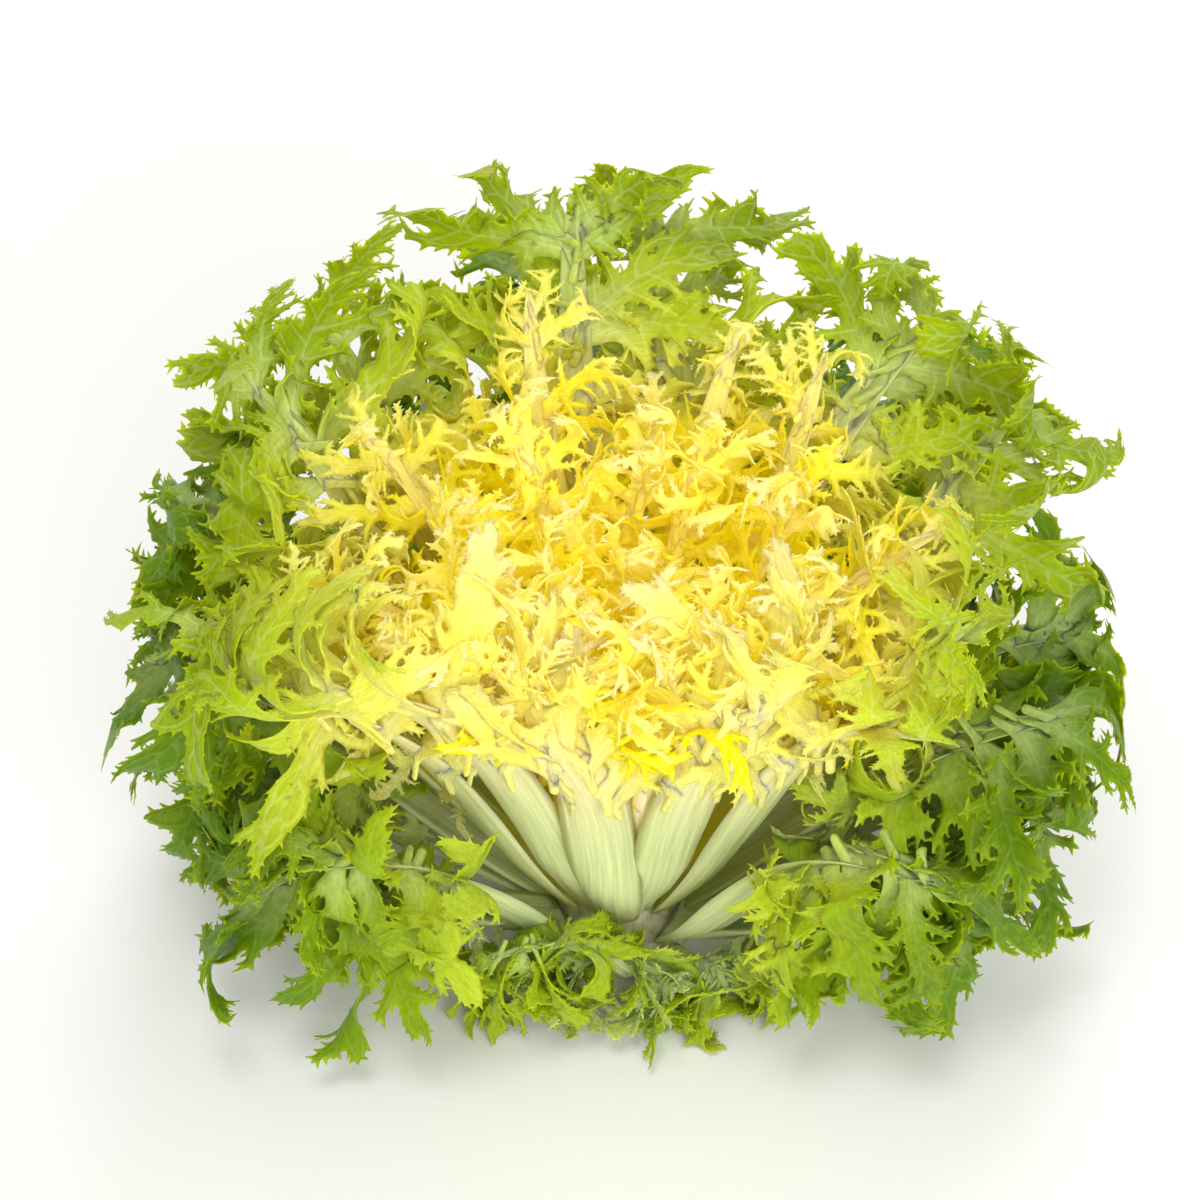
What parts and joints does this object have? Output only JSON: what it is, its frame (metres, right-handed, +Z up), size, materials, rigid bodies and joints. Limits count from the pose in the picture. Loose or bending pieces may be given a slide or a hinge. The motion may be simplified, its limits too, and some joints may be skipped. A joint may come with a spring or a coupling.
{
  "type": "curly endive head",
  "caption": "Head of curly endive, standing on its cut stem: frilly yellow heart leaves, pale ribs and toothed green outer leaves",
  "frame": {"origin": "centre of the flat cut face of the stem, which the head stands on", "axes": "+Z up along the stem, -Y towards the open front of the head, where the pale ribs show, +X to the right as seen from the front"},
  "size_m": [0.2839, 0.2055, 0.2053],
  "materials": {
    "stem": "moist pale cut stem, matt",
    "skirt_leaf": "green leaf with a pale rib, satin",
    "outer_leaf": "green leaf with a pale rib, satin",
    "middle_leaf": "yellow-green leaf with a broad white-green rib, satin",
    "inner_leaf": "blanched yellow leaf, satin",
    "heart_leaf": "blanched golden yellow leaf, satin",
    "bud_leaf": "blanched deep yellow bud leaf, satin"
  },
  "bodies": {
    "root": {"stem_core": "stem", "skirt_leaf_01": "skirt_leaf", "skirt_leaf_02": "skirt_leaf", "skirt_leaf_03": "skirt_leaf", "skirt_leaf_04": "skirt_leaf", "skirt_leaf_05": "skirt_leaf", "skirt_leaf_06": "skirt_leaf", "skirt_leaf_07": "skirt_leaf", "skirt_leaf_08": "skirt_leaf", "skirt_leaf_09": "skirt_leaf", "skirt_leaf_10": "skirt_leaf", "outer_leaf_01": "outer_leaf", "outer_leaf_02": "outer_leaf", "outer_leaf_03": "outer_leaf", "outer_leaf_04": "outer_leaf", "outer_leaf_05": "outer_leaf", "outer_leaf_06": "outer_leaf", "outer_leaf_07": "outer_leaf", "outer_leaf_08": "outer_leaf", "outer_leaf_09": "outer_leaf", "outer_leaf_10": "outer_leaf", "middle_leaf_01": "middle_leaf", "middle_leaf_02": "middle_leaf", "middle_leaf_03": "middle_leaf", "middle_leaf_04": "middle_leaf", "middle_leaf_05": "middle_leaf", "middle_leaf_06": "middle_leaf", "middle_leaf_07": "middle_leaf", "middle_leaf_08": "middle_leaf", "middle_leaf_09": "middle_leaf", "middle_leaf_10": "middle_leaf", "middle_leaf_11": "middle_leaf", "middle_leaf_12": "middle_leaf", "middle_leaf_13": "middle_leaf", "inner_leaf_01": "inner_leaf", "inner_leaf_02": "inner_leaf", "inner_leaf_03": "inner_leaf", "inner_leaf_04": "inner_leaf", "inner_leaf_05": "inner_leaf", "inner_leaf_06": "inner_leaf", "inner_leaf_07": "inner_leaf", "inner_leaf_08": "inner_leaf", "inner_leaf_09": "inner_leaf", "inner_leaf_10": "inner_leaf", "heart_leaf_01": "heart_leaf", "heart_leaf_02": "heart_leaf", "heart_leaf_03": "heart_leaf", "heart_leaf_04": "heart_leaf", "heart_leaf_05": "heart_leaf", "heart_leaf_06": "heart_leaf", "heart_leaf_07": "heart_leaf", "heart_leaf_08": "heart_leaf", "heart_leaf_09": "heart_leaf", "heart_leaf_10": "heart_leaf", "bud_leaf_01": "bud_leaf", "bud_leaf_02": "bud_leaf", "bud_leaf_03": "bud_leaf", "bud_leaf_04": "bud_leaf", "bud_leaf_05": "bud_leaf"}
  },
  "joints": []
}
